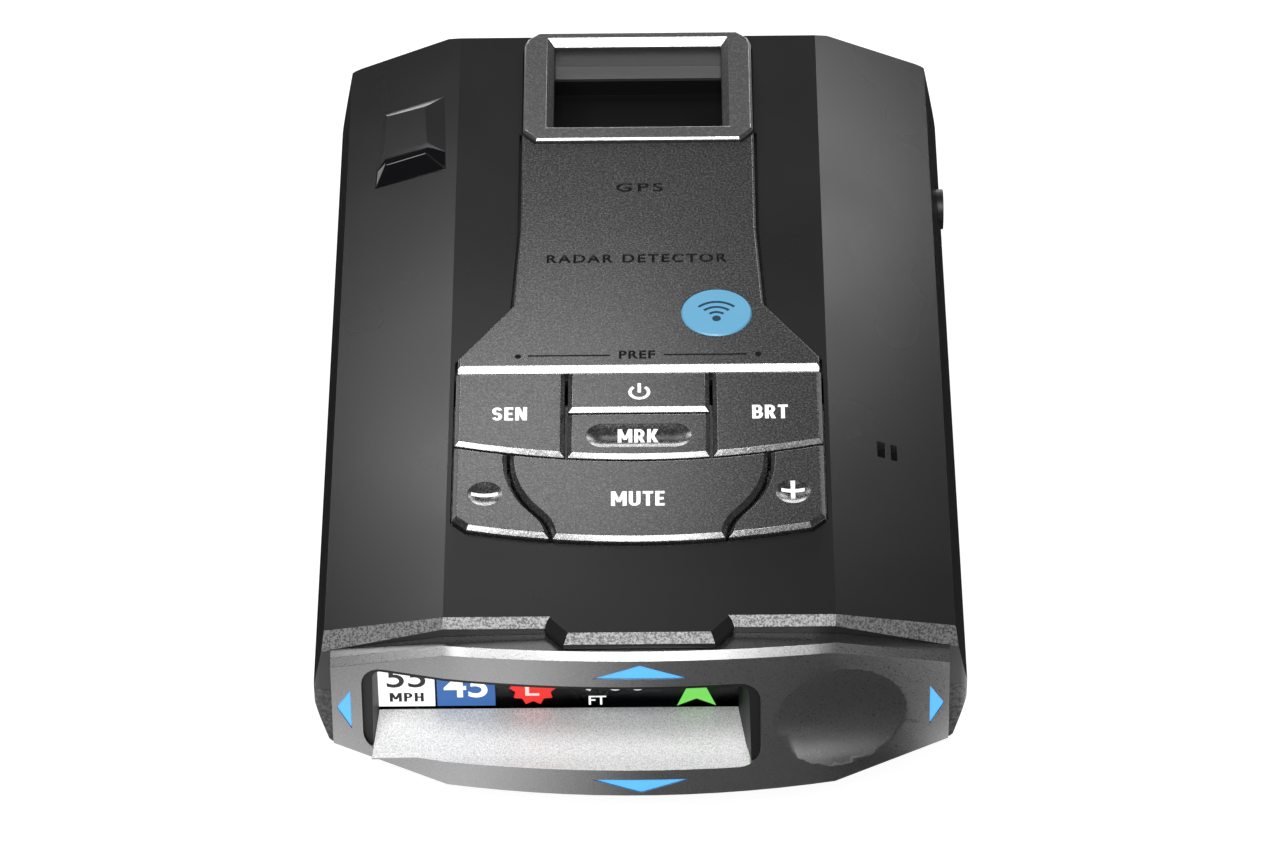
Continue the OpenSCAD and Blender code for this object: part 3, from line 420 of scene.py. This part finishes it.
def smooth_by_angle(name, flat_facets=False):
    """Geometry nodes that smooth all shading but that of edges sharper than SHARP_ANGLE.

    With flat_facets, each face over FACET_AREA is shaded flat, so that its corners take nothing from its
    neighbours."""
    tree = bpy.data.node_groups.new(name, "GeometryNodeTree")
    tree.interface.new_socket("Geometry", in_out="INPUT", socket_type="NodeSocketGeometry")
    tree.interface.new_socket("Geometry", in_out="OUTPUT", socket_type="NodeSocketGeometry")
    start = tree.nodes.new("NodeGroupInput")
    end = tree.nodes.new("NodeGroupOutput")
    faces = tree.nodes.new("GeometryNodeSetShadeSmooth")
    faces.domain = "FACE"
    edges = tree.nodes.new("GeometryNodeSetShadeSmooth")
    edges.domain = "EDGE"
    edges.inputs["Shade Smooth"].default_value = False
    angle = tree.nodes.new("GeometryNodeInputMeshEdgeAngle")
    test = tree.nodes.new("FunctionNodeCompare")
    test.operation = "GREATER_THAN"
    test.inputs[1].default_value = SHARP_ANGLE
    tree.links.new(start.outputs[0], faces.inputs[0])
    tree.links.new(faces.outputs[0], edges.inputs[0])
    tree.links.new(angle.outputs[0], test.inputs[0])
    tree.links.new(test.outputs[0], edges.inputs["Selection"])
    if flat_facets:
        area = tree.nodes.new("GeometryNodeInputMeshFaceArea")
        small = tree.nodes.new("FunctionNodeCompare")
        small.operation = "LESS_THAN"
        small.inputs[1].default_value = FACET_AREA
        tree.links.new(area.outputs[0], small.inputs[0])
        tree.links.new(small.outputs[0], faces.inputs["Shade Smooth"])
    tree.links.new(edges.outputs[0], end.inputs[0])
    return tree


SMOOTH = smooth_by_angle("smooth_by_angle")
SMOOTH_FACETS = smooth_by_angle("smooth_but_facets", flat_facets=True)


def soften(obj, width_mm, segments=2, angle=24, smoothing=SMOOTH):
    """Rounds a piece's edges: joins its vertices, merges its flat triangles, then bevels the edges."""
    weld = obj.modifiers.new("weld", "WELD")
    weld.merge_threshold = WELD_DISTANCE
    planes = obj.modifiers.new("planes", "DECIMATE")
    planes.decimate_type = "DISSOLVE"
    planes.angle_limit = FLAT_ANGLE
    if width_mm:
        edges = obj.modifiers.new("edges", "BEVEL")
        edges.width = width_mm * MM
        edges.segments = segments
        edges.limit_method = "ANGLE"
        edges.angle_limit = math.radians(angle)
        edges.use_clamp_overlap = True
        edges.harden_normals = False
    smooth = obj.modifiers.new("smooth", "NODES")
    smooth.node_group = smoothing
    weighted = obj.modifiers.new("weighted", "WEIGHTED_NORMAL")
    weighted.keep_sharp = True


def clear_normals(obj):
    if "custom_normal" in obj.data.attributes:
        obj.data.attributes.remove(obj.data.attributes["custom_normal"])


# A bevel's width in millimetres, its segments and the least angle of the edges it rounds, in degrees
KEY_SOFT = (0.07, 2, 22)
SOFT = {
    "top_shell": (0.22, 2, 17), "bottom_shell": (0.22, 2, 24), "front_bezel": (0.16, 2, 28),
    "control_panel": (0.06, 2, 20), "mount_socket": (0.10, 2, 24), "rear_laser_lens": (0.2, 3, 18),
    "headphone_jack": (0.2, 2, 30), "power_jack": (0.15, 2, 30), "usb_port": (0.08, 2, 30),
}
for name, obj in nodes.items():
    clear_normals(obj)
    if name in SOFT:
        width, segments, angle = SOFT[name]
        soften(obj, width, segments, angle, SMOOTH_FACETS if name.endswith("_shell") else SMOOTH)
    elif name.startswith("key_") and "board" not in name:
        soften(obj, *KEY_SOFT)
    else:
        soften(obj, 0)


# ---------- flat printed pieces ----------

def mesh_piece(name, bm, material, body="casing"):
    mesh = bpy.data.meshes.new(name)
    bm.to_mesh(mesh)
    bm.free()
    obj = link(bpy.data.objects.new(name, mesh))
    mesh.materials.append(material)
    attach(obj, body)
    return obj


def lettering(text, height, bold, stretch=1.0, gap=1.0):
    """A bmesh of filled letters in millimetres, centred on the origin in X and Y, height tall."""
    curve = bpy.data.curves.new("letters", "FONT")
    curve.body = text
    curve.size = 1.0
    curve.offset = bold
    curve.space_character = gap
    curve.resolution_u = 6
    curve.fill_mode = "FRONT"
    holder = link(bpy.data.objects.new("letters", curve))
    bpy.context.view_layer.update()
    evaluated = holder.evaluated_get(bpy.context.evaluated_depsgraph_get())
    mesh = bpy.data.meshes.new_from_object(evaluated)
    bpy.data.objects.remove(holder)
    bm = bmesh.new()
    bm.from_mesh(mesh)
    bpy.data.meshes.remove(mesh)
    bmesh.ops.remove_doubles(bm, verts=bm.verts, dist=1e-5)
    xs = [v.co.x for v in bm.verts]
    ys = [v.co.y for v in bm.verts]
    scale = height / (max(ys) - min(ys))
    cx, cy = (max(xs) + min(xs)) / 2, (max(ys) + min(ys)) / 2
    for v in bm.verts:
        v.co = Vector(((v.co.x - cx) * scale * stretch, (v.co.y - cy) * scale, 0))
    return bm


# A bold capital's strokes: how wide the upright ones are, how high the level ones, and where those lie
STEM = 0.205
BEAM = 0.165
LOW, MID, TOP = BEAM / 2, 0.5, 1 - BEAM / 2


def block(left, low, right, high):
    return [(left, low), (right, low), (right, high), (left, high)]


def bow(middle, radii, start, end):
    """Part of an oval ring, as thick as STEM at its sides and BEAM at its top and bottom."""
    angles = [math.radians(start + (end - start) * k / 20) for k in range(21)]
    outer = [(middle[0] + radii[0] * math.cos(a), middle[1] + radii[1] * math.sin(a)) for a in angles]
    inner = [(middle[0] + (radii[0] - STEM) * math.cos(a), middle[1] + (radii[1] - BEAM) * math.sin(a))
             for a in angles]
    return outer + inner[::-1]


def stem(left, low=0.0):
    return block(left, low, left + STEM, 1)


def beam(right, middle, left=0.0):
    return block(left, middle - BEAM / 2, right, middle + BEAM / 2)


# Bold narrow capitals: each is its width and the overlapping outlines that make it up, in units of its height
CAPITALS = {
    "B": (0.58, [stem(0), beam(0.30, LOW), beam(0.30, MID), beam(0.29, TOP),
                 bow((0.29, 0.71), (0.26, 0.29), -90, 90), bow((0.30, 0.29), (0.28, 0.29), -90, 90)]),
    "E": (0.47, [stem(0), beam(0.47, LOW), beam(0.43, MID), beam(0.47, TOP)]),
    "H": (0.60, [stem(0), stem(0.60 - STEM), beam(0.5, MID)]),
    "I": (STEM, [stem(0)]),
    "K": (0.62, [stem(0), [(0.08, 0.40), (0.32, 0.40), (0.60, 1), (0.36, 1)],
                 [(0.38, 0), (0.62, 0), (0.38, 0.60), (0.16, 0.60)]]),
    "L": (0.46, [stem(0), beam(0.46, LOW)]),
    "M": (0.80, [stem(0), stem(0.80 - STEM), [(0, 1), (0.22, 1), (0.49, 0.26), (0.31, 0.26)],
                 [(0.80, 1), (0.58, 1), (0.31, 0.26), (0.49, 0.26)]]),
    "N": (0.62, [stem(0), stem(0.62 - STEM), [(0, 1), (0.23, 1), (0.62, 0), (0.39, 0)]]),
    "P": (0.56, [stem(0), beam(0.29, 0.48), beam(0.29, TOP), bow((0.28, 0.70), (0.28, 0.30), -90, 90)]),
    "R": (0.60, [stem(0), beam(0.29, 0.48), beam(0.29, TOP), bow((0.28, 0.70), (0.28, 0.30), -90, 90),
                 [(0.36, 0), (0.60, 0), (0.40, 0.50), (0.18, 0.50)]]),
    "S": (0.54, [bow((0.27, 0.705), (0.27, 0.295), 18, 270), bow((0.27, 0.295), (0.27, 0.295), -162, 90)]),
    "T": (0.54, [block(0.27 - STEM / 2, 0, 0.27 + STEM / 2, 1), beam(0.54, TOP)]),
    "U": (0.60, [stem(0, 0.29), stem(0.60 - STEM, 0.29), bow((0.30, 0.29), (0.30, 0.29), 180, 360)]),
}


def turning(points):
    """Twice the area inside an outline, positive if it runs anticlockwise."""
    return sum(a[0] * b[1] - b[0] * a[1] for a, b in zip(points, points[1:] + points[:1]))


def joined(outlines):
    """A bmesh of the area that the outlines cover together."""
    outlines = [points if turning(points) > 0 else points[::-1] for points in outlines]
    corners = [Vector(p) for points in outlines for p in points]
    faces, start = [], 0
    for points in outlines:
        faces.append(list(range(start, start + len(points))))
        start += len(points)
    verts, _, triangles, _, _, origins = delaunay_2d_cdt(corners, [], faces, 0, 1e-5)
    bm = bmesh.new()
    made = [bm.verts.new((v.x, v.y, 0)) for v in verts]
    for triangle, origin in zip(triangles, origins):
        if origin:
            bm.faces.new([made[k] for k in triangle])
    bmesh.ops.delete(bm, geom=[v for v in bm.verts if not v.link_faces], context="VERTS")
    return bm


def capitals(word, width, height, gap=0.11):
    """A word in bold narrow capitals, centred on the origin, in millimetres."""
    outlines, x = [], 0.0
    for letter in word:
        advance, shapes = CAPITALS[letter]
        outlines += [[(px + x, py) for px, py in shape] for shape in shapes]
        x += advance + gap
    total = x - gap
    return joined([[((px / total - 0.5) * width, (py - 0.5) * height) for px, py in shape]
                   for shape in outlines])


def outline(points):
    """A bmesh of one filled polygon, in millimetres."""
    bm = bmesh.new()
    face = bm.faces.new([bm.verts.new((p[0], p[1], 0)) for p in points])
    face.normal_update()
    if face.normal.z < 0:
        face.normal_flip()
    bmesh.ops.triangulate(bm, faces=bm.faces)
    return bm


def thicken(bm, depth):
    """Turns flat faces at z = 0 into a plate whose top is at z = 0."""
    made = bmesh.ops.extrude_face_region(bm, geom=bm.faces[:])
    for v in [g for g in made["geom"] if isinstance(g, bmesh.types.BMVert)]:
        v.co.z -= depth
    bmesh.ops.recalc_face_normals(bm, faces=bm.faces)


PLATE_DEPTH = 0.05
LEGEND_LIFT = 0.02
PRINT_LIFT = 0.015


def onto_deck(bm, centre, z, lift, shape=None):
    """Lays flat artwork on a surface that looks up, as a plate that stands lift above it.

    Where shape is given, it says how far the surface sinks below z at a place, and the plate follows it."""
    bmesh.ops.translate(bm, verts=bm.verts, vec=(centre[0], centre[1], 0))
    if shape:
        bmesh.ops.triangulate(bm, faces=bm.faces)
        bmesh.ops.subdivide_edges(bm, edges=bm.edges, cuts=3, use_grid_fill=True)
    thicken(bm, PLATE_DEPTH)
    for v in bm.verts:
        sink = shape(v.co.x, v.co.y) if shape else 0.0
        v.co.z += z + lift - sink
    bmesh.ops.scale(bm, vec=(MM, MM, MM), verts=bm.verts)
    return bm


def onto_screen(bm, centre, y):
    """Stands flat artwork up on the display, facing the driver."""
    for v in bm.verts:
        v.co = Vector(((v.co.x + centre[0]) * MM, y * MM, (v.co.y + centre[1]) * MM))
    return bm


# The keys' finger dimples in part.scad: round on the volume keys, drawn out along X on the mark key
DIMPLE_R = 2.4
DIMPLE_DEPTH = 0.55
DIMPLE_BALL = (DIMPLE_R ** 2 + DIMPLE_DEPTH ** 2) / (2 * DIMPLE_DEPTH)
MARK_HALF_LENGTH, MARK_Y = 5.0, -23.6
SIDE_X, SIDE_Y = 21.35, -35.4


def dimple_sink(distance):
    """How far a dimple lies below the key's top, at that distance from its middle."""
    inside = DIMPLE_BALL ** 2 - distance ** 2
    return max(0.0, DIMPLE_DEPTH - DIMPLE_BALL + math.sqrt(max(0.0, inside)))


def mark_sink(x, y):
    return dimple_sink(math.hypot(max(0.0, abs(x) - MARK_HALF_LENGTH), y - MARK_Y))


def side_sink(side):
    return lambda x, y: dimple_sink(math.hypot(x - side * SIDE_X, y - SIDE_Y))


def bar(width, height):
    return outline(block(-width / 2, -height / 2, width / 2, height / 2))


def disc(radius, middle=(0.0, 0.0), sides=48):
    angles = [k * math.tau / sides for k in range(sides)]
    return [(middle[0] + radius * math.cos(a), middle[1] + radius * math.sin(a)) for a in angles]


def ring_part(radius, stroke, start, end):
    angles = [math.radians(start + (end - start) * k / 30) for k in range(31)]
    return [(radius * math.cos(a), radius * math.sin(a)) for a in angles] + [
        ((radius - stroke) * math.cos(a), (radius - stroke) * math.sin(a)) for a in reversed(angles)]


def plus_sign(size, stroke):
    a, b = size / 2, stroke / 2
    return outline([(-b, -a), (b, -a), (b, -b), (a, -b), (a, b), (b, b),
                    (b, a), (-b, a), (-b, b), (-a, b), (-a, -b), (-b, -b)])


def power_symbol(radius, stroke):
    """A ring open at the top with an upright bar in the opening."""
    open_half = 38
    angles = [math.radians(90 + open_half + (360 - 2 * open_half) * k / 40) for k in range(41)]
    inner = [((radius - stroke) * math.cos(a), (radius - stroke) * math.sin(a)) for a in reversed(angles)]
    ring = [(radius * math.cos(a), radius * math.sin(a)) for a in angles] + inner
    return joined([ring, block(-stroke / 2, radius * -0.05, stroke / 2, radius * 1.22)])


# The white legends get a painted glow: they give off light though no lamp lies behind them
white_ink_painted_glow = ink("legend_white_painted_glow", (0.92, 0.92, 0.92), glow=0.5)
black_ink = ink("print_black", (0.005, 0.005, 0.006), 0.60, specular=0.10)
badge_ink = ink("print_badge", (0.02, 0.06, 0.10), 0.55, specular=0.15)
BADGE = (11.15, 2.45)
BADGE_Z = 35.25

legends = [
    ("legend_sen", "key_sensitivity_cap", capitals("SEN", 4.9, 2.75), (-18.14, -18.92), None),
    ("legend_brt", "key_brightness_cap", capitals("BRT", 5.0, 2.85), (18.44, -18.87), None),
    ("legend_mrk", "key_mark_cap", capitals("MRK", 5.7, 2.6), (-0.10, -23.3), mark_sink),
    ("legend_mute", "key_mute_cap", capitals("MUTE", 7.4, 2.95), (-0.16, -36.63), None),
    ("legend_power", "key_power_cap", power_symbol(1.55, 0.48), (0.09, -14.55), None),
    ("legend_minus", "key_volume_down_cap", bar(3.7, 0.62), (-21.4, -35.2), side_sink(-1)),
    ("legend_plus", "key_volume_up_cap", plus_sign(3.2, 0.60), (21.34, -34.8), side_sink(1)),
]
for name, body, art, centre, shape in legends:
    mesh_piece(name, onto_deck(art, centre, KEY_TOP_Z, LEGEND_LIFT, shape), white_ink_painted_glow, body)

DOT_RADIUS = 0.46
prints = [
    ("print_gps", lettering("GPS", 2.0, 0.020, 1.25, 1.35), (0.21, 30.5)),
    ("print_pref", lettering("PREF", 1.75, 0.030, 0.95, 1.16), (-0.22, -6.52)),
    ("print_line_left", bar(11.6, 0.28), (-9.87, -6.65)),
    ("print_line_right", bar(11.8, 0.28), (9.50, -6.60)),
    ("print_dot_left", outline(disc(DOT_RADIUS, sides=16)), (-17.1, -6.75)),
    ("print_dot_right", outline(disc(DOT_RADIUS, sides=16)), (16.95, -6.60)),
    ("print_kind", lettering("RADAR DETECTOR", 1.9, 0.025, 1.0, 1.25), (-0.2, 14.5)),
]
for name, art, centre in prints:
    mesh_piece(name, onto_deck(art, centre, KEY_TOP_Z, PRINT_LIFT), black_ink)

# The badge carries three arcs of a wave over a dot, all round one point below the badge's middle
WAVE_Y = -1.5
badge_mark = joined([disc(0.62, (0, WAVE_Y))] + [
    [(x, y + WAVE_Y) for x, y in ring_part(radius, 0.42, 45, 135)] for radius in (1.6, 2.7, 3.8)])
badge_mark = onto_deck(badge_mark, BADGE, BADGE_Z, PRINT_LIFT)
mesh_piece("print_badge_mark", badge_mark, badge_ink)


# ---------- display content ----------

SCREEN_Y = -57.22
LAYER = 0.02
WHITE = (0.95, 0.95, 0.95)
INK = (0.004, 0.004, 0.005)
GREEN = (0.16, 0.62, 0.09)


def starburst(radius, dip, teeth):
    return outline([
        ((radius if k % 2 == 0 else radius - dip) * math.cos(math.pi * k / teeth),
         (radius if k % 2 == 0 else radius - dip) * math.sin(math.pi * k / teeth))
        for k in range(2 * teeth)
    ])


# Each piece's artwork, its middle on the screen, its colour, its glow and which layer off the screen it is
screen_pieces = [
    ("screen_tile_white", bar(7.8, 11.4), (-32.2, 21.2), WHITE, 1.0, 1),
    ("screen_tile_blue", bar(8.0, 11.4), (-24.0, 21.2), (0.03, 0.12, 0.36), 0.9, 1),
    ("screen_limit", lettering("55", 4.0, 0.010, 1.05), (-32.2, 21.1), INK, 0.0, 2),
    ("screen_unit", capitals("MPH", 4.7, 1.7, 0.14), (-32.2, 17.25), INK, 0.0, 2),
    ("screen_word", capitals("LIMIT", 4.2, 1.3, 0.2), (-32.2, 25.2), INK, 0.0, 2),
    ("screen_speed", lettering("45", 4.6, 0.016), (-24.05, 19.4), WHITE, 1.0, 2),
    ("screen_star", starburst(3.3, 0.75, 10), (-14.8, 18.85), (0.75, 0.02, 0.015), 1.0, 1),
    ("screen_star_letter", lettering("L", 2.9, 0.012, 1.1), (-14.9, 18.8), (0.9, 0.6, 0.55), 1.0, 2),
    ("screen_feet", lettering("FT", 1.7, 0.012), (-5.93, 16.35), WHITE, 1.0, 1),
    ("screen_distance", lettering("700", 4.2, 0.006, 1.0, 1.05), (-3.4, 20.25), (0.75, 0.75, 0.75), 0.9, 1),
    ("screen_arrow", outline([(-2.7, -1.9), (0, -0.55), (2.7, -1.9), (0, 5.0)]), (7.72, 17.1), GREEN, 1.0, 1),
    ("screen_band", lettering("BAND K", 1.4, 0.008, 1.0, 1.05), (6.5, 25.0), (0.5, 0.5, 0.5), 0.8, 1),
    ("screen_bars", bar(9.0, 0.8), (-6.0, 25.0), GREEN, 0.8, 1),
]
for name, art, centre, colour, strength, layer in screen_pieces:
    look = glowing("glow_" + name, colour, strength, 0.3, 0.04)
    mesh_piece(name, onto_screen(art, centre, SCREEN_Y - LAYER * layer), look)


# ---------- floor, world and lights ----------

# The floor lies a hair under the object, so that their faces don't share one plane
FLOOR_GAP = 0.05 * MM
CARD_GAP = 1 * MM
PLANE_SIZE = 6.0
FLOOR_GLOW = 0.95
WORLD_LIGHT = 0.06


def wide_plane(name, gap):
    """A square far wider than the object, which lies gap below it."""
    bm = bmesh.new()
    bmesh.ops.create_grid(bm, x_segments=8, y_segments=8, size=PLANE_SIZE)
    mesh = bpy.data.meshes.new(name)
    bm.to_mesh(mesh)
    bm.free()
    obj = link(bpy.data.objects.new(name, mesh))
    obj.location.z = -gap
    return obj


def floor():
    """A white floor, glowing so that it meets the white backdrop, which the object's gloss doesn't show."""
    obj = wide_plane("floor", FLOOR_GAP)
    s = Shader("studio_floor")
    drift = s.noise(400.0, 2.0, 0.5)
    s.set(base_color=s.mix(drift, (0.30, 0.30, 0.30), (0.34, 0.34, 0.34)), emission_color=(1, 1, 1, 1))
    s.bsdf.inputs["Roughness"].default_value = 0.9
    s.bsdf.inputs["Specular IOR Level"].default_value = 0.0
    s.bsdf.inputs["Emission Strength"].default_value = FLOOR_GLOW
    obj.data.materials.append(s.mat)
    obj.visible_glossy = False


# How bright the cards are: in front from left to right, at the sides, behind, and by the two front corners
FRONT_CARDS = [(0.0, 0.1), (0.167, 0.9), (0.333, 1.5), (0.5, 0.2), (0.66, 0.15), (0.74, 0.0), (0.88, 0.0),
               (1.0, 2.0)]
SIDE_CARDS = [(0.0, 0.02), (1.0, 0.02)]
REAR_CARD = 1.2
CORNER_CARD = 2.5


def reflection_cards():
    """Grey cards that lie round the object and that only its gloss shows."""
    obj = wide_plane("reflection_cards", CARD_GAP)
    s = Shader("card_light")
    x, y, _ = s.split(s.coords)
    front = s.remap(y, -0.05, -0.07)
    rear = s.remap(y, 0.10, 0.14)
    across = s.ramp(s.remap(x, -0.09, 0.09, smooth=False), FRONT_CARDS)
    sides = s.ramp(s.remap(x, -0.20, 0.20, smooth=False), SIDE_CARDS)
    level = s.mix(front, s.mix(rear, sides, (REAR_CARD, REAR_CARD, REAR_CARD)), across)
    out = s.math("ABSOLUTE", x)
    corner = s.math("MULTIPLY", s.remap(out, 0.046, 0.052), s.remap(out, 0.076, 0.066))
    along = s.math("MULTIPLY", s.remap(y, -0.090, -0.080), s.remap(y, -0.034, -0.048))
    corner = s.math("MULTIPLY", corner, along)
    corner = s.math("MULTIPLY", corner, s.remap(x, -0.01, 0.01, 0.5, 1.0))
    level = s.mix(corner, level, (CORNER_CARD, CORNER_CARD, CORNER_CARD))
    s.set(base_color=(0, 0, 0, 1), emission_color=level)
    s.bsdf.inputs["Specular IOR Level"].default_value = 0.0
    s.bsdf.inputs["Emission Strength"].default_value = 1.0
    obj.data.materials.append(s.mat)
    obj.visible_camera = False
    obj.visible_diffuse = False
    obj.visible_shadow = False
    obj.visible_transmission = False


def world():
    w = bpy.data.worlds.new("studio")
    w.use_nodes = True
    tree = w.node_tree
    tree.nodes["Background"].inputs[0].default_value = (1, 1, 1, 1)
    tree.nodes["Background"].inputs[1].default_value = WORLD_LIGHT
    bpy.context.scene.world = w


def light_at(name, place, target, width, height, radiance):
    """A rectangular light at place that faces target; radiance is how bright its surface is."""
    place, target = Vector(place), Vector(target)
    data = bpy.data.lights.new(name, "AREA")
    data.shape = "RECTANGLE"
    data.size, data.size_y = width, height
    data.energy = radiance * math.pi * width * height
    obj = link(bpy.data.objects.new(name, data))
    obj.location = place
    obj.rotation_euler = (target - place).to_track_quat("-Z", "Y").to_euler()
    obj.visible_camera = False


def panel_light(name, azimuth, elevation, distance, width, height, radiance, target=(0, -0.01, 0.02)):
    """A light seen from the target at azimuth, which is 0 in front and 90 at the right, and elevation."""
    a, e = math.radians(azimuth), math.radians(elevation)
    way = Vector((math.sin(a) * math.cos(e), -math.cos(a) * math.cos(e), math.sin(e)))
    light_at(name, Vector(target) + way * distance, target, width, height, radiance)


# Azimuth and elevation in degrees, distance, width and height in metres, and radiance
PANEL_LIGHTS = [
    ("light_front", 0, 48, 0.50, 0.12, 0.11, 15.0),
    ("light_front_left", -36, 46, 0.50, 0.13, 0.11, 16.0),
    ("light_front_right", 36, 46, 0.50, 0.13, 0.11, 1.5),
    ("light_high", 0, 68, 0.50, 0.20, 0.12, 17.0),
    ("light_low_rear", 180, 8, 0.60, 0.34, 0.13, 6.5),
]
# Small lights that the deck's two facets and the panel mirror: place, target, width, height and radiance
PATCH_LIGHTS = [
    ("light_patch_left", (-0.122, 0.155, 0.169), (-0.047, -0.015, 0.033), 0.06, 0.045, 7.0),
    ("light_patch_right", (0.113, 0.215, 0.163), (0.044, 0.038, 0.033), 0.07, 0.05, 6.0),
    ("light_patch_middle", (-0.029, 0.140, 0.190), (-0.022, -0.030, 0.035), 0.07, 0.05, 1.6),
]

floor()
reflection_cards()
world()
for row in PANEL_LIGHTS:
    panel_light(*row)
for row in PATCH_LIGHTS:
    light_at(*row)

view = bpy.context.scene.view_settings
view.view_transform = "Standard"
view.look = "None"
view.exposure = 0.0
view.gamma = 1.0
